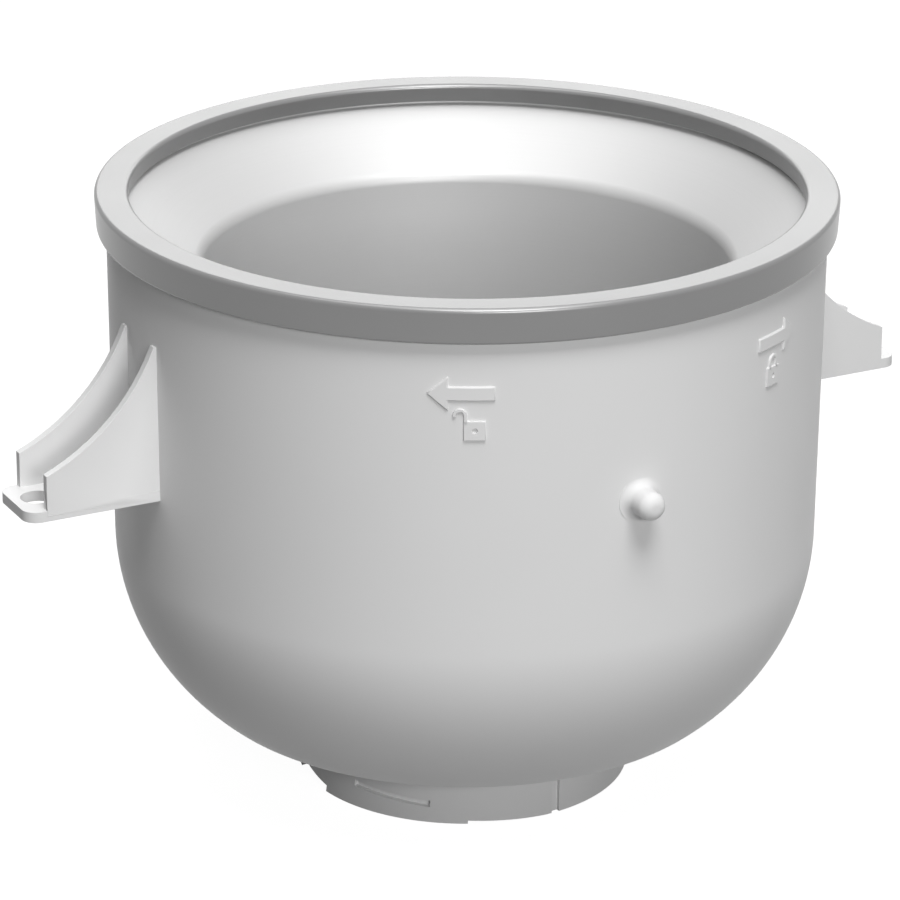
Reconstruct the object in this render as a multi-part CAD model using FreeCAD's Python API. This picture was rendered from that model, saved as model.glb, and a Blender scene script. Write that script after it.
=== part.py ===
import FreeCAD
import Part
import math
import os

os.makedirs("parts", exist_ok=True)

# Freezer bowl of a stand-mixer ice cream maker, in millimetres.
# The origin is on the table under the middle of the base, +Z is up,
# the two brackets lie along X and the locating stud points along -Y.

# Overall and outer shell
overall_height = 181.6
shell_top_radius = 104.7
shell_draft = 0.45
shell_wall = 3.0
bend_height = 77.6
side_round_radius = 66.2
heel_round_radius = 15.0
underside_height = 23.6

# Rim ring, which caps the shell's edge and the liner's flange
rim_top_wall = 2.4
rim_skirt_wall = 2.95
rim_skirt_height = 10.3
rim_skirt_taper = 0.5
rim_lip_inset = 6.8
rim_lip_wall = 2.3
rim_lip_height = 5.5
rim_lip_taper = 0.4
rim_outer_round = 1.3
rim_inner_chamfer = 1.2
rim_clearance = 0.35

# Rim gasket
gasket_thickness = 1.5
gasket_inset = 0.3

# Inner liner
liner_wall = 1.2
liner_clearance = 0.2
shoulder_angle = 35.0
shoulder_start_depth = 6.4
shoulder_width = 23.2
mouth_round = 5.0
liner_draft = 1.5
liner_depth = 126.0
liner_floor_round = 36.0

# Refrigerant between the walls
gel_gap = 0.25
gel_fill_depth = 32.0

# Side brackets
bracket_reach = 144.0
bracket_half_width = 11.2
bracket_plate_height = 108.4
bracket_plate_thickness = 3.2
bracket_corner_round = 4.5
bracket_hole_inset = 7.5
bracket_hole_radius = 4.8
rib_wall = 2.4
rib_end_inset = 6.0
rib_end_height = 10.3
rib_middle_share = 0.44
rib_middle_height = 22.2
rib_root_height = 43.4

# Locating stud
stud_height = 121.0
stud_radius = 4.1
stud_length = 8.8
stud_dome_round = 3.2
stud_foot_width = 1.6
stud_foot_length = 1.6

# Collar under the shell and its keys
collar_radius = 44.0
collar_wall = 3.0
collar_length = 17.0
key_count = 3
key_width = 5.0
key_depth = 1.4
key_length = 12.0
key_angle = 30.0

# Fill plug with its seal
plug_hole_radius = 9.0
plug_clearance = 0.2
plug_head_radius = 15.0
plug_head_thickness = 4.0
plug_shank_length = 6.5
plug_edge_chamfer = 0.8
plug_slot_width = 2.6
plug_slot_depth = 1.5
seal_radius = 11.8
seal_width = 2.4
seal_thickness = 2.0

# Base ring with its twist-lock ledges
base_ring_radius = 49.7
base_ring_clearance = 0.3
base_ring_flange_radius = 37.0
base_ring_flange_wall = 3.0
lock_count = 2
foot_start_angle = 187.7
foot_span = 56.6
ramp_span = 28.0
ramp_rise = 1.0
lead_in_span = 32.0
lead_in_rise = 2.0
lead_in_slope = 9.0
lead_in_depth = 1.0
ledge_start = 14.6
ledge_span = 29.0
ledge_height = 6.6
ledge_drop = 1.8
ledge_opening = 2.2
ledge_depth = 1.5
groove_offset = 31.7
groove_width = 2.6
groove_depth = 1.2

# Heights and radii that follow from the sizes above
flange_top = overall_height - rim_top_wall
flange_bottom = flange_top - liner_wall
shell_top = flange_bottom - gasket_thickness
shell_inner_top_radius = shell_top_radius - shell_wall / math.cos(math.radians(shell_draft))
step_radius = shell_inner_top_radius - liner_clearance - liner_wall
mouth_radius = step_radius - shoulder_width
skirt_inner_radius = shell_top_radius + rim_clearance
rim_radius = skirt_inner_radius + rim_skirt_wall
rim_lip_radius = shell_top_radius - rim_lip_inset
lip_outer_radius = rim_lip_radius + rim_lip_wall
rib_reach = bracket_reach - rib_end_inset
base_ring_bore = collar_radius + base_ring_clearance
collar_end = underside_height - collar_length

Z_AXIS = FreeCAD.Vector(0, 0, 1)
CENTRE = FreeCAD.Vector(0, 0, 0)
FULL_TURN = 360.0


def at(radius, height):
    """Point of the half section that is turned about the vertical axis."""
    return FreeCAD.Vector(radius, 0, height)


def polar(centre, radius, angle):
    """Point at an angle below the outward direction from a centre of the half section."""
    return centre + at(radius * math.cos(angle), -radius * math.sin(angle))


def line(start, end):
    return Part.LineSegment(start, end).toShape()


def arc(start, middle, end):
    return [Part.Arc(start, middle, end).toShape()]


def chords(start, middle, end):
    """Two straight edges in place of an arc."""
    return [line(start, middle), line(middle, end)]


def turned(edges, degrees=FULL_TURN):
    """Solid made by turning a closed half section about the vertical axis."""
    face = Part.Face(Part.Wire(edges))
    return face.revolve(CENTRE, Z_AXIS, degrees)


def rounded_outline(points, rounds, closed=True):
    """Edges of an outline whose corners are rounded, where a round of 0 keeps a sharp corner."""
    count = len(points)
    entries = []
    exits = []
    middles = []
    for index, (corner, radius) in enumerate(zip(points, rounds)):
        before = (points[index - 1] - corner)
        after = (points[(index + 1) % count] - corner)
        is_end = not closed and index in (0, count - 1)
        if radius == 0 or is_end:
            entries.append(corner)
            exits.append(corner)
            middles.append(None)
            continue
        before.normalize()
        after.normalize()
        half_angle = before.getAngle(after) / 2
        reach = radius / math.tan(half_angle)
        bisector = (before + after).normalize()
        entries.append(corner + before * reach)
        exits.append(corner + after * reach)
        middles.append(corner + bisector * (radius / math.sin(half_angle) - radius))
    edges = []
    for index in range(count):
        if middles[index] is not None:
            edges += arc(entries[index], middles[index], exits[index])
        following = (index + 1) % count
        if following or closed:
            edges.append(line(exits[index], entries[following]))
    return edges


def offset_outline(points, rounds, distance):
    """Open half section moved to its right-hand side, with each rounding moved alike."""
    shifts = []
    for start, end in zip(points, points[1:]):
        direction = (end - start).normalize()
        shifts.append((direction, FreeCAD.Vector(direction.z, 0, -direction.x) * distance))
    moved = [points[0] + shifts[0][1]]
    moved_rounds = [0]
    for index in range(1, len(points) - 1):
        direction, shift = shifts[index - 1]
        next_direction, next_shift = shifts[index]
        turn = direction.x * next_direction.z - direction.z * next_direction.x
        gap = next_shift - shift
        along = (gap.x * next_direction.z - gap.z * next_direction.x) / turn
        moved.append(points[index] + shift + direction * along)
        moved_rounds.append(rounds[index] + math.copysign(distance, turn) if rounds[index] else 0)
    moved.append(points[-1] + shifts[-1][1])
    moved_rounds.append(0)
    return moved, moved_rounds


def vessel(inset, top=None, rounded=True):
    """Solid inside the shell's outer surface moved inwards by inset, with chords for arcs if not rounded."""
    top = shell_top if top is None else top
    draft = math.radians(shell_draft)
    bend_radius = shell_top_radius - (shell_top - bend_height) * math.tan(draft)
    side_centre = at(bend_radius, bend_height) - at(side_round_radius * math.cos(draft), 0)
    side_centre = side_centre + at(0, side_round_radius * math.sin(draft))
    round_step = side_round_radius - heel_round_radius
    heel_angle = math.asin((side_centre.z - underside_height - heel_round_radius) / round_step)
    heel_reach = side_centre.x + round_step * math.cos(heel_angle)
    heel_centre = at(heel_reach, underside_height + heel_round_radius)
    side_radius = side_round_radius - inset
    heel_radius = heel_round_radius - inset
    wall_low = polar(side_centre, side_radius, draft)
    wall_high = wall_low + at((top - wall_low.z) * math.tan(draft), top - wall_low.z)
    side_middle = polar(side_centre, side_radius, (draft + heel_angle) / 2)
    joint = polar(side_centre, side_radius, heel_angle)
    heel_middle = polar(heel_centre, heel_radius, (heel_angle + math.pi / 2) / 2)
    floor_edge = polar(heel_centre, heel_radius, math.pi / 2)
    floor_centre = at(0, floor_edge.z)
    top_centre = at(0, top)
    bend = arc if rounded else chords
    heel = bend(floor_edge, heel_middle, joint)
    side = bend(joint, side_middle, wall_low)
    wall = [line(wall_low, wall_high), line(wall_high, top_centre), line(top_centre, floor_centre)]
    return turned([line(floor_centre, floor_edge)] + heel + side + wall)


def cavity(offset, rounded=True):
    """Solid inside the liner's inner surface moved outwards by offset, with sharp corners if not rounded."""
    floor_height = overall_height - liner_depth
    shoulder_start = at(step_radius, overall_height - shoulder_start_depth)
    shoulder_drop = (step_radius - mouth_radius) * math.tan(math.radians(shoulder_angle))
    mouth = at(mouth_radius, shoulder_start.z - shoulder_drop)
    floor_radius = mouth_radius - (mouth.z - floor_height) * math.tan(math.radians(liner_draft))
    points = [at(0, floor_height), at(floor_radius, floor_height), mouth, shoulder_start]
    points += [at(step_radius, flange_top)]
    rounds = [0, liner_floor_round, mouth_round, 0, 0] if rounded else [0] * len(points)
    points, rounds = offset_outline(points, rounds, offset)
    top_centre = at(0, flange_top)
    edges = rounded_outline(points, rounds, closed=False)
    edges += [line(points[-1], top_centre), line(top_centre, points[0])]
    return turned(edges)


def sector(inner_radius, outer_radius, low, high, start=0.0, span=FULL_TURN):
    """Part of a flat ring, from a start angle over a span in degrees."""
    points = [at(inner_radius, low), at(outer_radius, low), at(outer_radius, high), at(inner_radius, high)]
    piece = turned(rounded_outline(points, [0] * len(points)), span)
    return piece.rotate(CENTRE, Z_AXIS, start)


def annulus(inner_radius, outer_radius, low, high):
    """Whole flat ring."""
    return sector(inner_radius, outer_radius, low, high)


def disc(radius, low, high):
    return Part.makeCylinder(radius, high - low, at(0, low))


def tilted(piece, angle, height, slope):
    """Piece turned about the radial line at an angle and height, rising with the angle by slope degrees."""
    radians = math.radians(angle)
    radial = FreeCAD.Vector(math.cos(radians), math.sin(radians), 0)
    return piece.rotate(at(0, height), radial, slope)


def around(piece, count):
    """Copies of a piece at even angles about the vertical axis."""
    copies = []
    for index in range(count):
        copies.append(piece.copy().rotate(CENTRE, Z_AXIS, FULL_TURN * index / count))
    return copies


def bracket_rib(side):
    """Upright rib along one edge of the bracket's plate, with a hollowed top edge."""
    inner_reach = shell_top_radius - shell_wall
    low = bracket_plate_height
    root = FreeCAD.Vector(shell_top_radius, 0, low + rib_root_height)
    middle_reach = shell_top_radius + (rib_reach - shell_top_radius) * rib_middle_share
    middle = FreeCAD.Vector(middle_reach, 0, low + rib_middle_height)
    end_top = FreeCAD.Vector(rib_reach, 0, low + rib_end_height)
    end_low = FreeCAD.Vector(rib_reach, 0, low)
    inner_low = FreeCAD.Vector(inner_reach, 0, low)
    inner_top = FreeCAD.Vector(inner_reach, 0, root.z)
    edges = [line(inner_low, end_low), line(end_low, end_top)]
    edges += arc(end_top, middle, root)
    edges += [line(root, inner_top), line(inner_top, inner_low)]
    edge = bracket_half_width if side > 0 else rib_wall - bracket_half_width
    face = Part.Face(Part.Wire(edges))
    face.translate(FreeCAD.Vector(0, edge, 0))
    return face.extrude(FreeCAD.Vector(0, -rib_wall, 0))


def bracket():
    """Lug along +X: a flat plate with a pin hole between two ribs."""
    inner_reach = shell_top_radius - shell_wall
    low = bracket_plate_height - bracket_plate_thickness
    corners = [
        FreeCAD.Vector(inner_reach, -bracket_half_width, low),
        FreeCAD.Vector(bracket_reach, -bracket_half_width, low),
        FreeCAD.Vector(bracket_reach, bracket_half_width, low),
        FreeCAD.Vector(inner_reach, bracket_half_width, low),
    ]
    outline = Part.Wire(rounded_outline(corners, [0, bracket_corner_round, bracket_corner_round, 0]))
    plate = Part.Face(outline).extrude(FreeCAD.Vector(0, 0, bracket_plate_thickness))
    lug = plate.fuse([bracket_rib(1), bracket_rib(-1)]).removeSplitter()
    hole_start = FreeCAD.Vector(bracket_reach - bracket_hole_inset, 0, low)
    return lug.cut(Part.makeCylinder(bracket_hole_radius, bracket_plate_thickness, hole_start))


def stud():
    """Round locating stud on the -Y side, flared where it meets the wall."""
    root = shell_top_radius - shell_wall
    face_radius = shell_top_radius - (shell_top - stud_height) * math.tan(math.radians(shell_draft))
    flare = stud_radius + stud_foot_width
    tip = face_radius + stud_length
    foot_end = face_radius + stud_foot_length
    points = [at(0, root), at(flare, root), at(flare, face_radius), at(stud_radius, foot_end)]
    points += [at(stud_radius, tip), at(0, tip)]
    rounds = [0, 0, 0, 0, stud_dome_round, 0]
    piece = turned(rounded_outline(points, rounds))
    piece.rotate(CENTRE, FreeCAD.Vector(1, 0, 0), 90)
    piece.translate(FreeCAD.Vector(0, 0, stud_height))
    return piece


def collar_keys(width, depth, length):
    """Upright keys on the collar's outside, which line up the base ring."""
    reach = collar_radius + depth
    key = Part.makeBox(reach - collar_radius + collar_wall / 2, width, length)
    key.translate(FreeCAD.Vector(collar_radius - collar_wall / 2, -width / 2, underside_height - length))
    key.rotate(CENTRE, Z_AXIS, key_angle)
    return around(key, key_count)


def outer_shell():
    wall = vessel(0).cut(vessel(shell_wall))
    collar = annulus(collar_radius - collar_wall, collar_radius, collar_end, underside_height)
    keys = collar_keys(key_width, key_depth, key_length)
    lug = bracket()
    outside = around(lug, 2) + [stud()]
    outside = [piece.cut(vessel(shell_wall / 2)) for piece in outside]
    body = wall.fuse(outside + [collar] + keys).removeSplitter()
    return body.cut(disc(plug_hole_radius, underside_height, underside_height + shell_wall))


def inner_liner():
    pan = cavity(liner_wall).cut(cavity(0))
    flange = annulus(step_radius, shell_top_radius - gasket_inset, flange_bottom, flange_top)
    return pan.fuse(flange).removeSplitter()


def rim_ring():
    skirt_end = overall_height - rim_skirt_height
    lip_end = overall_height - rim_lip_height
    points = [
        at(rim_lip_radius + rim_lip_taper, lip_end),
        at(rim_lip_radius, overall_height - rim_inner_chamfer),
        at(rim_lip_radius + rim_inner_chamfer, overall_height),
        at(rim_radius, overall_height),
        at(rim_radius - rim_skirt_taper, skirt_end),
        at(skirt_inner_radius, skirt_end),
        at(skirt_inner_radius, flange_top),
        at(lip_outer_radius, flange_top),
        at(lip_outer_radius, lip_end),
    ]
    rounds = [0, 0, 0, rim_outer_round, 0, 0, 0, 0, 0]
    return turned(rounded_outline(points, rounds))


def rim_gasket():
    inner = shell_inner_top_radius + gasket_inset
    outer = shell_top_radius - gasket_inset
    return annulus(inner, outer, shell_top, flange_bottom)


def refrigerant_gel():
    level = overall_height - gel_fill_depth
    fill = vessel(shell_wall + gel_gap, level, rounded=False)
    shank = disc(plug_hole_radius + gel_gap, underside_height, underside_height + plug_shank_length + gel_gap)
    return fill.cut([cavity(liner_wall + gel_gap, rounded=False), shank])


def fill_plug():
    head_low = underside_height - plug_head_thickness
    chamfer_height = head_low + plug_edge_chamfer
    head = disc(plug_head_radius, chamfer_height, underside_height)
    head = head.fuse(Part.makeCone(plug_head_radius - plug_edge_chamfer, plug_head_radius, plug_edge_chamfer,
                                   at(0, head_low)))
    shank = disc(plug_hole_radius - plug_clearance, head_low, underside_height + plug_shank_length)
    groove_reach = seal_width / 2 + plug_clearance
    groove_low = underside_height - seal_thickness
    groove = annulus(seal_radius - groove_reach, seal_radius + groove_reach, groove_low, underside_height)
    slot_length = 2 * plug_hole_radius
    slot = Part.makeBox(slot_length, plug_slot_width, plug_slot_depth)
    slot.translate(FreeCAD.Vector(-slot_length / 2, -plug_slot_width / 2, head_low))
    return head.fuse(shank).removeSplitter().cut([groove, slot])


def fill_plug_seal():
    low = underside_height - seal_thickness
    return annulus(seal_radius - seal_width / 2, seal_radius + seal_width / 2, low, underside_height)


def base_ring():
    flange_high = collar_end - base_ring_clearance
    flange_low = flange_high - base_ring_flange_wall
    points = [
        at(base_ring_bore, 0),
        at(base_ring_radius, 0),
        at(base_ring_radius, underside_height),
        at(base_ring_bore, underside_height),
        at(base_ring_bore, flange_high),
        at(base_ring_flange_radius, flange_high),
        at(base_ring_flange_radius, flange_low),
        at(base_ring_bore, flange_low),
    ]
    ring = turned(rounded_outline(points, [0] * len(points)))
    outside = base_ring_radius + base_ring_clearance
    below = -base_ring_flange_wall
    inside = base_ring_bore - lead_in_depth
    ramp_start = foot_start_angle + foot_span
    ramp_length = base_ring_radius * math.sin(math.radians(ramp_span))
    ramp_slope = math.degrees(math.atan(ramp_rise / ramp_length))
    ramp = sector(inside, outside, below, ramp_rise, ramp_start, 2 * ramp_span)
    ramp = tilted(ramp, ramp_start, ramp_rise, -ramp_slope)
    lead_in = sector(inside, outside, below, lead_in_rise, foot_start_angle - lead_in_span, lead_in_span)
    lead_in = tilted(lead_in, foot_start_angle, lead_in_rise, -lead_in_slope)
    ledge_angle = foot_start_angle + ledge_start
    ledge_slope = math.degrees(math.atan(ledge_drop / (base_ring_radius * math.radians(ledge_span))))
    ledge = sector(base_ring_radius - ledge_depth, outside, ledge_height, ledge_height + ledge_opening,
                   ledge_angle, ledge_span)
    ledge = tilted(ledge, ledge_angle, ledge_height, -ledge_slope)
    groove = Part.makeBox(groove_depth + base_ring_clearance, groove_width, underside_height)
    groove.translate(FreeCAD.Vector(base_ring_radius - groove_depth, -groove_width / 2, 0))
    groove.rotate(CENTRE, Z_AXIS, ramp_start + groove_offset)
    cuts = []
    for piece in (ramp, lead_in, ledge, groove):
        cuts += around(piece, lock_count)
    slot_width = key_width + 2 * base_ring_clearance
    slot_depth = key_depth + base_ring_clearance
    cuts += collar_keys(slot_width, slot_depth, key_length + base_ring_clearance)
    return ring.cut(cuts).removeSplitter()


pieces = {
    "outer_shell": outer_shell(),
    "inner_liner": inner_liner(),
    "rim_ring": rim_ring(),
    "rim_gasket": rim_gasket(),
    "refrigerant_gel": refrigerant_gel(),
    "fill_plug": fill_plug(),
    "fill_plug_seal": fill_plug_seal(),
    "base_ring": base_ring(),
}

for name, shape in pieces.items():
    shape.exportStep("parts/" + name + ".step")
    box = shape.BoundBox
    heights = [round(box.ZMin, 2), round(box.ZMax, 2)]
    print(name, len(shape.Solids), shape.isValid(), round(shape.Volume), *heights)

brim_litres = cavity(0).Volume / 1e6
print("volume to the brim, litres", round(brim_litres, 2))
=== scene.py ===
import math

import bpy
from mathutils import Matrix, Vector


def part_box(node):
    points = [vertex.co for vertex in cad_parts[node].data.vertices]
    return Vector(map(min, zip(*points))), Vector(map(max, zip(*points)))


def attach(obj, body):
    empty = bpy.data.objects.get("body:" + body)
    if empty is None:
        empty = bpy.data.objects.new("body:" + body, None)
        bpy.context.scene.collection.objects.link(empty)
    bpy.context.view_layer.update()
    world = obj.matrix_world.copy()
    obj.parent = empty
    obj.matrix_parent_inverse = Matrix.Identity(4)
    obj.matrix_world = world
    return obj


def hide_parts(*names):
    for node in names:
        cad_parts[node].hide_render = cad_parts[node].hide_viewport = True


bl_info = {
    "name": "Freezer Bowl",
    "version": (1, 0, 0),
    "blender": (4, 5, 0),
    "location": "View3D > Sidebar > Freezer Bowl",
    "description": "Models the looks of a freezer bowl around its packed parts",
    "category": "Add Mesh",
}

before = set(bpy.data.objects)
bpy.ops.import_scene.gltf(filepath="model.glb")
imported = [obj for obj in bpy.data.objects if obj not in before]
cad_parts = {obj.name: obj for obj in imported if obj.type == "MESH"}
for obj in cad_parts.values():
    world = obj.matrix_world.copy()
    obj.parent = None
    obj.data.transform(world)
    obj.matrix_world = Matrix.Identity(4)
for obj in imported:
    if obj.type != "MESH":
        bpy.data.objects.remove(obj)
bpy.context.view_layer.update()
SHELL_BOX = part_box("outer_shell")
LINER_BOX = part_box("inner_liner")
RIM_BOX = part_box("rim_ring")
BASE_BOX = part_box("base_ring")

MM = 0.001
LINER_SHEET_MM = 1.2
MERGE_DISTANCE = 0.01 * MM
SEED_SIZE = 1 * MM
LATHE_STEPS = 192
STUD_STEPS = 64
HOLE_STEPS = 48
ARC_STEPS = 12
FLOOR_CELLS = 8
BEVEL_SEGMENTS = 3
BEVEL_ANGLE = math.radians(32)
SMOOTH_ANGLE = math.radians(40)
FULL_TURN = 2 * math.pi
MIX_FACTOR, MIX_FIRST, MIX_SECOND, MIX_RESULT = 0, 6, 7, 2


# Properties


def length(name, millimetres, description):
    return bpy.props.FloatProperty(
        name=name, description=description, default=millimetres * MM, unit="LENGTH", precision=4)


def angle(name, degrees, description):
    return bpy.props.FloatProperty(
        name=name, description=description, default=math.radians(degrees), subtype="ANGLE")


def share(name, value, description):
    return bpy.props.FloatProperty(name=name, description=description, default=value, subtype="FACTOR")


def power(name, watts, description):
    return bpy.props.FloatProperty(name=name, description=description, default=watts, unit="POWER")


def place(name, metres, description):
    return bpy.props.FloatVectorProperty(
        name=name, description=description, default=metres, size=3, subtype="XYZ", unit="LENGTH")


def extent(name, metres, description):
    return bpy.props.FloatVectorProperty(
        name=name, description=description, default=metres, size=2, unit="LENGTH")


def colour(name, grey, description):
    return bpy.props.FloatVectorProperty(
        name=name, description=description, default=grey, size=3, subtype="COLOR", min=0.0, max=1.0)


class FREEZERBOWL_PG_wall(bpy.types.PropertyGroup):
    """Sizes of the white bowl wall with its collar and stud."""

    top_radius: length("Top radius", 104.7, "Outside of the wall at its top edge")
    top_height: length("Top height", SHELL_BOX[1].z / MM, "Height of the wall's top edge")
    draft: angle("Draft", 0.45, "Lean of the upright part of the wall")
    thickness: length("Thickness", 3.0, "Thickness of the wall")
    bend_height: length("Bend height", 77.6, "Height where the wall starts to round inwards")
    side_round: length("Side round", 66.2, "Radius of the large round of the side")
    heel_round: length("Heel round", 15.0, "Radius of the round that ends at the underside")
    underside: length("Underside", BASE_BOX[1].z / MM, "Height of the flat underside")
    collar_radius: length("Collar radius", 44.0, "Outside of the collar under the bowl")
    collar_wall: length("Collar wall", 3.0, "Thickness of the collar")
    plug_hole: length("Plug hole", 9.0, "Radius of the filling hole")
    edge_round: length("Edge round", 0.5, "Round of the moulded edges")
    stud_height: length("Stud height", 121.0, "Height of the locating stud's axis")
    stud_radius: length("Stud radius", 4.1, "Radius of the locating stud")
    stud_tip: length("Stud tip", -SHELL_BOX[0].y / MM, "Distance of the stud's tip from the bowl's axis")
    stud_dome: length("Stud dome", 3.2, "Round of the stud's tip")
    stud_foot: length("Stud foot", 2.6, "Flare where the stud meets the wall")
    stud_foot_round: length("Stud foot round", 2.55, "Hollow round of that flare")
    key_width: length("Key width", 5.0, "Width of the collar's keys")
    key_depth: length("Key depth", 1.4, "How far the keys stand out of the collar")
    key_length: length("Key length", 12.0, "Length of the keys below the underside")
    key_angle: angle("Key angle", 30.0, "Place of the first key round the collar")
    key_count: bpy.props.IntProperty(name="Keys", description="Number of keys", default=3, min=1)


class FREEZERBOWL_PG_bracket(bpy.types.PropertyGroup):
    """Sizes of the two side brackets."""

    reach: length("Reach", SHELL_BOX[1].x / MM, "Distance of the bracket's end from the bowl's axis")
    root_depth: length("Root depth", 2.25, "How far the bracket goes into the wall")
    half_width: length("Half width", 11.2, "Half of the bracket's width")
    plate_top: length("Plate top", 108.4, "Height of the plate's upper face")
    plate_thickness: length("Plate thickness", 3.2, "Thickness of the plate")
    corner_round: length("Corner round", 4.5, "Round of the plate's outer corners")
    hole_inset: length("Hole inset", 7.5, "Distance of the pin hole from the bracket's end")
    hole_radius: length("Hole radius", 4.8, "Radius of the pin hole")
    rib_wall: length("Rib wall", 2.4, "Thickness of the two ribs")
    rib_inset: length("Rib inset", 6.0, "Distance of the ribs' ends from the bracket's end")
    rib_end: length("Rib end", 10.3, "Height of a rib at its outer end")
    rib_middle: length("Rib middle", 22.2, "Height of a rib at the middle of its hollowed edge")
    rib_root: length("Rib root", 43.4, "Height of a rib at the wall")
    rib_middle_share: share("Rib middle share", 0.44, "Place of that middle from the wall to the rib's end")
    edge_round: length("Edge round", 0.9, "Round of the moulded edges")


class FREEZERBOWL_PG_liner(bpy.types.PropertyGroup):
    """Sizes of the metal liner."""

    flange_radius: length("Flange radius", LINER_BOX[1].x / MM, "Outside of the flange")
    flange_top: length("Flange top", LINER_BOX[1].z / MM, "Height of the flange's upper face")
    step_radius: length("Step radius", 100.3, "Inside of the upright step under the flange")
    step_depth: length("Step depth", 4.0, "Depth of that step")
    shoulder_width: length("Shoulder width", 23.2, "Width of the sloping shoulder")
    shoulder_angle: angle("Shoulder angle", 35.0, "Slope of the shoulder")
    mouth_round: length("Mouth round", 5.0, "Round between the shoulder and the deep wall")
    draft: angle("Draft", 1.5, "Lean of the deep wall")
    floor_height: length("Floor height", LINER_BOX[0].z / MM + LINER_SHEET_MM, "Height of the floor inside")
    floor_round: length("Floor round", 36.0, "Round between the deep wall and the floor")
    thickness: length("Thickness", LINER_SHEET_MM, "Thickness of the sheet")
    edge_round: length("Edge round", 0.4, "Round of the sheet's edges and of the step's corners")


class FREEZERBOWL_PG_rim(bpy.types.PropertyGroup):
    """Sizes of the grey rim ring."""

    radius: length("Radius", RIM_BOX[1].x / MM, "Outside of the ring")
    top: length("Top", RIM_BOX[1].z / MM, "Height of the ring's upper face")
    skirt_end: length("Skirt end", RIM_BOX[0].z / MM, "Height of the skirt's lower edge")
    skirt_wall: length("Skirt wall", 2.95, "Thickness of the skirt")
    skirt_taper: length("Skirt taper", 0.5, "How far the skirt draws in towards its lower edge")
    lip_radius: length("Lip radius", 97.9, "Inside of the ring")
    lip_wall: length("Lip wall", 2.3, "Thickness of the inner lip")
    lip_height: length("Lip height", 5.5, "Height of the inner lip")
    lip_taper: length("Lip taper", 0.4, "How far the lip draws back towards its lower edge")
    top_wall: length("Top wall", 2.4, "Thickness of the ring's top")
    outer_round: length("Outer round", 1.3, "Round of the outer upper edge")
    inner_round: length("Inner round", 1.3, "Round of the inner upper edge")
    skirt_round: length("Skirt round", 0.8, "Round of the skirt's outer lower edge")
    edge_round: length("Edge round", 0.4, "Round of the other lower edges")


class FREEZERBOWL_PG_base(bpy.types.PropertyGroup):
    """Sizes of the base ring with its twist-lock cuts."""

    radius: length("Radius", BASE_BOX[1].x / MM, "Outside of the ring")
    height: length("Height", BASE_BOX[1].z / MM, "Height of the ring")
    bore: length("Bore", 44.3, "Radius inside the ring, round the collar")
    flange_radius: length("Flange radius", 37.0, "Inside of the flange")
    flange_top: length("Flange top", 6.3, "Height of the flange's upper face")
    flange_wall: length("Flange wall", 3.0, "Thickness of the flange")
    lock_count: bpy.props.IntProperty(name="Locks", description="Number of lock patterns", default=2, min=1)
    foot_start: angle("Foot start", 187.7, "Angle where a foot starts")
    foot_span: angle("Foot span", 56.6, "Angle over which a foot is flat")
    ramp_span: angle("Ramp span", 56.0, "Angle over which the ramp runs out")
    ramp_rise: length("Ramp rise", 1.0, "Height of the ramp's step")
    ramp_slope: angle("Ramp slope", 2.45, "Slope of the ramp")
    lead_in_span: angle("Lead-in span", 32.0, "Angle over which the lead-in rises")
    lead_in_rise: length("Lead-in rise", 2.0, "Height of the lead-in's step")
    lead_in_slope: angle("Lead-in slope", 9.0, "Slope of the lead-in")
    ledge_start: angle("Ledge start", 14.6, "Angle from the foot's start to the ledge")
    ledge_span: angle("Ledge span", 29.0, "Angle over which the ledge runs")
    ledge_height: length("Ledge height", 6.6, "Height of the ledge at its start")
    ledge_opening: length("Ledge opening", 2.2, "Height of the slot over the ledge")
    ledge_depth: length("Ledge depth", 1.5, "Depth of the slot over the ledge")
    ledge_slope: angle("Ledge slope", 4.09, "Slope of the ledge")
    groove_angle: angle("Groove angle", 88.3, "Angle from the foot's start to the upright groove")
    groove_width: length("Groove width", 2.6, "Width of the upright groove")
    groove_depth: length("Groove depth", 1.2, "Depth of the upright groove")
    clearance: length("Clearance", 0.3, "Room round the collar's keys and beyond the ring in cuts")
    edge_round: length("Edge round", 0.35, "Round of the moulded edges")


class FREEZERBOWL_PG_signs(bpy.types.PropertyGroup):
    """Sizes and places of the raised arrows and padlocks."""

    arrow_angle: angle("Arrow angle", 28.4, "Place of an arrow on either side of the stud")
    arrow_height: length("Arrow height", 156.3, "Height of the arrows' middle line")
    arrow_length: length("Arrow length", 19.4, "Length of an arrow")
    arrow_head: length("Arrow head", 10.2, "Height of an arrow's head")
    arrow_head_length: length("Head length", 6.1, "Length of an arrow's head")
    arrow_shaft: length("Arrow shaft", 4.2, "Height of an arrow's shaft")
    lock_height: length("Padlock height", 145.6, "Height of the middle of a padlock's body")
    open_angle: angle("Open padlock", 26.3, "Place of the open padlock, on the side of the stud towards -X")
    closed_angle: angle("Closed padlock", 27.4, "Place of the closed padlock, on the other side")
    lock_width: length("Padlock width", 6.1, "Width of a padlock's body")
    lock_body: length("Padlock body", 5.5, "Height of a padlock's body")
    shackle_width: length("Shackle width", 4.1, "Width of a padlock's shackle")
    shackle_wall: length("Shackle wall", 0.9, "Thickness of a padlock's shackle")
    shackle_leg: length("Shackle leg", 1.6, "Straight part of a shackle")
    keyhole: length("Keyhole", 0.75, "Radius of the keyhole")
    open_leg: length("Open leg", 0.3, "Straight part of the open padlock's free leg")
    relief: length("Relief", 0.6, "How far the signs stand out of the wall")
    chamfer: length("Chamfer", 0.5, "Width of the slope round a sign's edge")


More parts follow.
